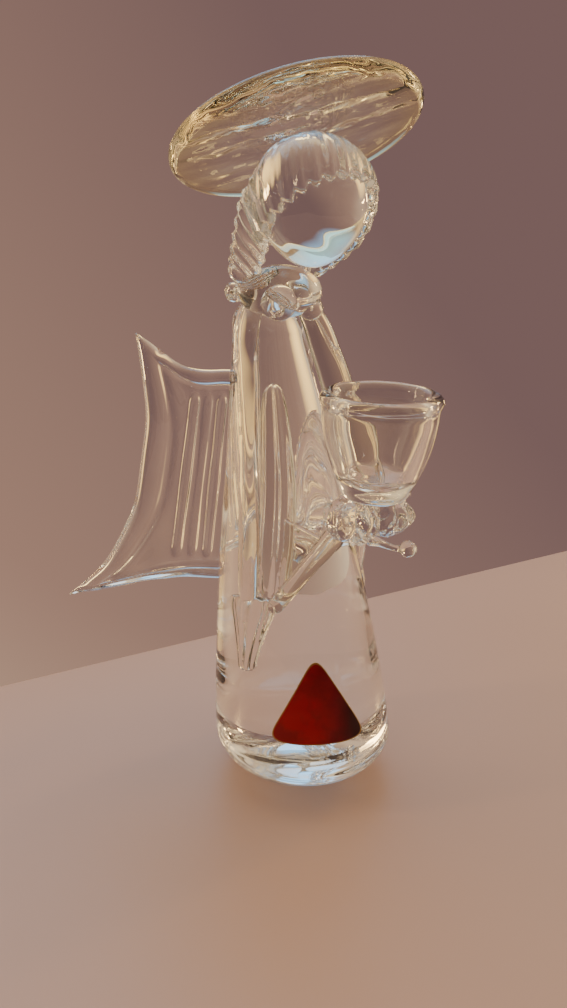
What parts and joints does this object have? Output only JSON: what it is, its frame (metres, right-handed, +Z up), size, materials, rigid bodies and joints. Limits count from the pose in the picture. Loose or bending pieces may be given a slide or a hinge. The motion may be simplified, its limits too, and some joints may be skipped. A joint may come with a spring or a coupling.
{
  "type": "glass angel candle holder",
  "caption": "Hot-worked clear glass figurine of a winged angel with a smooth faceless head and a tilted disc halo, holding an open cup in front for a taper candle.",
  "frame": {"origin": "on the flat that the gown stands on, under the middle of the gown's widest ring", "axes": "+Z up along the figure's height, -Y the way the figure faces, -X the figure's right hand"},
  "size_m": [0.1048, 0.0966, 0.1988],
  "materials": {
    "clear_glass": "fire-polished, clear with a faint warm tint in the thick parts",
    "amber_glass": "fire-polished, pale yellow",
    "red_foil": "thin printed foil, satin, dark red with a thin gold edge"
  },
  "bodies": {
    "root": {"body": "clear_glass", "right_shoulder_bead": "clear_glass", "left_shoulder_bead": "clear_glass", "head": "clear_glass", "collar": "clear_glass", "hair": "clear_glass", "right_curl": "clear_glass", "left_curl": "clear_glass", "cup": "clear_glass", "tail_drop": "clear_glass", "right_hand": "clear_glass", "left_hand": "clear_glass", "right_upper_arm": "clear_glass", "right_forearm": "clear_glass", "right_sleeve": "clear_glass", "right_web": "clear_glass", "right_sleeve_tip": "clear_glass", "left_upper_arm": "clear_glass", "left_sleeve": "clear_glass", "left_sleeve_tip": "clear_glass", "right_wing": "clear_glass", "left_wing": "clear_glass", "halo": "amber_glass", "label": "red_foil"}
  },
  "joints": []
}
